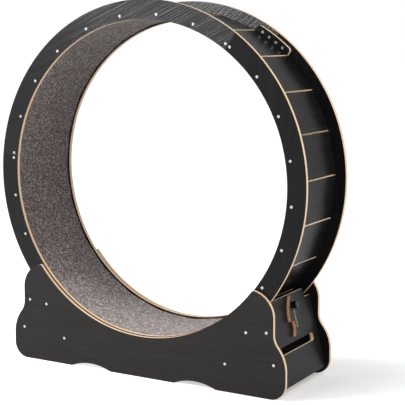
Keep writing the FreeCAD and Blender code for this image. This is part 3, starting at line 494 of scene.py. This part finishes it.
for node in ("front_ring_screws", "rear_ring_screws", "splice_screws", "panel_screws", "axle_screws"):
    coat(node, zinc)
for node in ("axle_spacers", "axle_collars", "stopper_bolt"):
    coat(node, steel)
for end in ENDS:
    coat(f"{end}_dowel", beech)
    coat(f"{end}_roller_axle", steel)
    for side in SIDES:
        coat(f"{side}_{end}_tyre", rubber)
        coat(f"{side}_{end}_bearing", steel)
coat("stopper_knob", knob_plastic)


# ---------------------------------------------------------------- the carpet

CARPET_WIDTH = 247 * MM
CARPET_PILE = 2.6 * MM
CARPET_CLEARANCE = 0.15 * MM
CARPET_SEAM = 0.8 * MM
PILE_EDGE = 1.6 * MM
EDGE_WALL = 0.9
EDGE_STEPS = 4
TUFT = 4 * MM
UNEVEN = 0.25 * MM
WAVES_PER_METRE = 160
KNOTS_PER_METRE = 420
KNOT_SHARE = 0.6
FOLLOWS_FLATS = 0.55
TUFTS_PER_METRE = 370.0
PILE_SHADES = ((0.0, (0.032, 0.021, 0.018)), (0.35, (0.072, 0.062, 0.064)),
               (0.7, (0.205, 0.160, 0.148)), (0.93, (0.50, 0.44, 0.42)))
CLOUD_SHADE = (0.080, 0.063, 0.061)
CLOUD_SCALE = 60.0
CLOUD_STOPS = ((0.35, 0.0), (0.7, 0.35))
YARN_SCALE = 2600.0
YARN_HEIGHT = 0.5
TUFT_DEPTH = 0.9 * MM


def carpet_pile(name):
    """Short loop pile in several dark and pale greys, mottled at the scale of its tufts."""
    shader = Shader(name)
    cells = {"settings": {"feature": "F1"}, "Vector": shader.place, "Scale": TUFTS_PER_METRE}
    pick = shader.add("SeparateColor", i0=shader.add("TexVoronoi", 1, **cells))
    shades = shader.ramp(pick, *PILE_SHADES)
    cloud = shader.noise(shader.place, CLOUD_SCALE, 4.0, 0.6)
    colour = shader.mix(shader.ramp(cloud, *CLOUD_STOPS), shades, CLOUD_SHADE)
    yarn = shader.noise(shader.place, YARN_SCALE, 3.0, 0.7)
    depth = shader.add("TexVoronoi", 0, **cells)
    shader.bump(shader.math("SUBTRACT", shader.scaled(yarn, YARN_HEIGHT), depth), TUFT_DEPTH)
    return shader.set(Base_Color=colour, Roughness=0.95, Specular_IOR_Level=0.15,
                      Sheen_Weight=0.25, Sheen_Roughness=0.5)


def half_profile():
    """Half of the strip's cross-section, edge first, as points (from the middle, up from its
    back)."""
    half = CARPET_WIDTH / 2
    points = [(half, 0.0), (half, (CARPET_PILE - PILE_EDGE) * EDGE_WALL)]
    for step in range(1, EDGE_STEPS + 1):
        turn = math.pi / 2 * step / EDGE_STEPS
        inwards = PILE_EDGE * (1 - math.cos(turn))
        down = PILE_EDGE * (1 - math.sin(turn))
        points.append((half - inwards, CARPET_PILE - down))
    inner = half - PILE_EDGE
    columns = round(inner / TUFT)
    return points + [(inner * (1 - column / columns), CARPET_PILE) for column in range(1, columns + 1)]


def flat_radius(angle):
    """The distance from the axle to the tread's face at an angle from the seam."""
    within = (angle % TREAD_STEP) - TREAD_STEP / 2
    return TREAD_INNER / math.cos(within)


def carpet_mesh(length):
    """The carpet as one strip laid on the flats of the treads and bent softly over their joints, with
    a pile that is rounded at its edges. Its two ends meet at a tread joint."""
    half = half_profile()
    profile = half + [(-x, rise) for x, rise in reversed(half[:-1])]
    rows = round(length / TUFT)
    gap = CARPET_SEAM / TREAD_INNER
    mesh = bmesh.new()
    lines = []
    for row in range(rows + 1):
        angle = gap / 2 + (2 * math.pi - gap) * row / rows
        spoke = Vector((math.cos(FIRST_SEAM + angle), 0.0, math.sin(FIRST_SEAM + angle)))
        flat = flat_radius(angle)
        back = flat - CARPET_CLEARANCE
        face = FOLLOWS_FLATS * flat + (1 - FOLLOWS_FLATS) * TREAD_INNER - CARPET_CLEARANCE
        line = []
        for across, rise in profile:
            share = rise / CARPET_PILE
            radius = back * (1 - share) + (face - CARPET_PILE) * share
            spot = spoke * radius + Vector((AXLE.x, across, AXLE.z))
            fuzz = noise.noise(spot * WAVES_PER_METRE) + KNOT_SHARE * noise.noise(spot * KNOTS_PER_METRE)
            spot += spoke * (fuzz * UNEVEN * share)
            line.append(mesh.verts.new(spot))
        lines.append(line)
    for line, following in zip(lines, lines[1:]):
        for index in range(len(profile)):
            beside = (index + 1) % len(profile)
            mesh.faces.new((line[index], line[beside], following[beside], following[index]))
    mesh.faces.new(lines[0])
    mesh.faces.new(reversed(lines[-1]))
    bmesh.ops.recalc_face_normals(mesh, faces=mesh.faces)
    data = bpy.data.meshes.new("carpet")
    mesh.to_mesh(data)
    mesh.free()
    for polygon in data.polygons:
        polygon.use_smooth = len(polygon.vertices) == 4
    return data


def make_carpet():
    length = 2 * math.pi * TREAD_INNER
    data = carpet_mesh(length)
    data.materials.append(carpet_pile("carpet_pile"))
    carpet = bpy.data.objects.new("carpet", data)
    bpy.context.scene.collection.objects.link(carpet)
    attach(carpet, "wheel")
    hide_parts("carpet_runner")
    return carpet


carpet = make_carpet()


# ---------------------------------------------------------------- floor, light and camera

WHITE = (1.0, 1.0, 1.0)
SKY = 0.34
FLOOR_SIZE = 60.0
FLOOR_GREY = 0.76
# SHADOW_PLACE, right of the base, is where the floor's glow is least; the glow grows from there out to
# FLOOR_FAR, as painted light that washes out the object's shadow elsewhere.
SHADOW_PLACE = (0.52, 0.06, 0.0)
FLOOR_NEAR = 0.0
FLOOR_FAR = 0.75
GLOW_NEAR = 0.285
GLOW_FAR = 0.80

# Each light: its place, the place that it faces, its size in metres and its power in watts. The
# overhead one lights the carpet alone.
LIGHTS = {
    "key": ((-2.14, -2.11, 2.1), (-0.05, 0.0, 0.95), (1.2, 0.9), 78.0),
    "right": ((2.7, -0.45, 2.3), (0.3, 0.0, 0.5), (1.6, 1.6), 52.0),
    "front": ((-1.1, -2.2, 2.7), (0.0, 0.0, 0.2), (1.6, 1.0), 40.0),
    "overhead": ((-1.5, -0.9, 2.3), (-0.2, -0.1, 0.15), (0.7, 0.5), 60.0),
}

# The camera: its place from the axle, and its turns to the left, down and about its own line of
# sight, in degrees.
SENSOR_WIDTH = 36.0
FRAME_PIXELS = 405
FOCAL_PIXELS = 1160.5
CAMERA_SHIFT = (12.0, -50.0)
CAMERA_PLACE = (1.7409, -2.8463, 0.3987)
CAMERA_TURN = (30.35, 5.742, -0.044)


def make_stage():
    """A plain pale floor that keeps the object's shadow near SHADOW_PLACE. It glows to the eye and in
    reflections, least at that place and more with the distance from it, so that it meets the white
    background without a horizon; the glow is painted light that washes out the object's shadow
    farther off."""
    bpy.ops.mesh.primitive_plane_add(size=FLOOR_SIZE, location=(0.0, 0.0, 0.0))
    floor = bpy.context.active_object
    floor.name = "floor"
    shader = Shader("floor_white")
    seen = shader.add("LightPath")
    mirrored = seen.node.outputs["Is Glossy Ray"]
    through = seen.node.outputs["Is Transmission Ray"]
    shown = shader.math("MAXIMUM", shader.math("MAXIMUM", seen, mirrored), through)
    away = shader.vector("DISTANCE", shader.place, SHADOW_PLACE)
    glow = shader.eased(away, FLOOR_NEAR, FLOOR_FAR, GLOW_NEAR, GLOW_FAR)
    shader.set(Base_Color=(FLOOR_GREY,) * 3, Roughness=1.0, Specular_IOR_Level=0.0,
               Emission_Color=WHITE, Emission_Strength=shader.scaled(shown, glow))
    floor.data.materials.append(shader.material)


def make_world():
    """White all round: full white to the camera and in reflections, softer as a light."""
    world = bpy.data.worlds.new("studio")
    bpy.context.scene.world = world
    world.use_nodes = True
    tree = world.node_tree
    tree.nodes.clear()
    rays = tree.nodes.new("ShaderNodeLightPath").outputs
    seen = rays["Is Camera Ray"]
    for kind in ("Is Glossy Ray", "Is Transmission Ray"):
        either = tree.nodes.new("ShaderNodeMath")
        either.operation = "MAXIMUM"
        tree.links.new(seen, either.inputs[0])
        tree.links.new(rays[kind], either.inputs[1])
        seen = either.outputs[0]
    mix = tree.nodes.new("ShaderNodeMixShader")
    tree.links.new(seen, mix.inputs[0])
    for slot, strength in ((1, SKY), (2, 1.0)):
        white = tree.nodes.new("ShaderNodeBackground")
        white.inputs["Color"].default_value = (*WHITE, 1.0)
        white.inputs["Strength"].default_value = strength
        tree.links.new(white.outputs[0], mix.inputs[slot])
    output = tree.nodes.new("ShaderNodeOutputWorld")
    tree.links.new(mix.outputs[0], output.inputs["Surface"])


def add_light(name, place, target, size, power):
    light = bpy.data.lights.new(name, "AREA")
    light.shape = "RECTANGLE"
    light.size, light.size_y = size
    light.energy = power
    lamp = bpy.data.objects.new(name, light)
    bpy.context.scene.collection.objects.link(lamp)
    lamp.location = place
    lamp.visible_camera = False
    lamp.rotation_mode = "QUATERNION"
    lamp.rotation_quaternion = (Vector(target) - Vector(place)).to_track_quat("-Z", "Y")
    return lamp


def light_alone(lamp, piece):
    """Let a lamp light one piece and nothing else."""
    lit = bpy.data.collections.new(f"lit_by_{lamp.name}")
    lit.objects.link(piece)
    lamp.light_linking.receiver_collection = lit


def make_camera():
    """The photograph's view, from the front right and a little above the axle."""
    camera = bpy.data.cameras.new("camera")
    camera.sensor_width = SENSOR_WIDTH
    camera.lens = FOCAL_PIXELS / FRAME_PIXELS * SENSOR_WIDTH
    camera.shift_x = CAMERA_SHIFT[0] / FRAME_PIXELS
    camera.shift_y = CAMERA_SHIFT[1] / FRAME_PIXELS
    viewer = bpy.data.objects.new("camera", camera)
    bpy.context.scene.collection.objects.link(viewer)
    yaw, pitch, roll = (math.radians(angle) for angle in CAMERA_TURN)
    ahead = math.cos(pitch)
    forward = Vector((-math.sin(yaw) * ahead, math.cos(yaw) * ahead, -math.sin(pitch)))
    level = Vector((math.cos(yaw), math.sin(yaw), 0.0))
    upright = level.cross(forward)
    right = level * math.cos(roll) + upright * math.sin(roll)
    up = upright * math.cos(roll) - level * math.sin(roll)
    axes = Matrix((right, up, -forward)).transposed()
    viewer.matrix_world = Matrix.Translation(AXLE + Vector(CAMERA_PLACE)) @ axes.to_4x4()
    bpy.context.scene.camera = viewer


make_stage()
make_world()
lamps = {name: add_light(name, *setting) for name, setting in LIGHTS.items()}
light_alone(lamps["overhead"], carpet)
make_camera()
bpy.context.scene.view_settings.view_transform = "Standard"
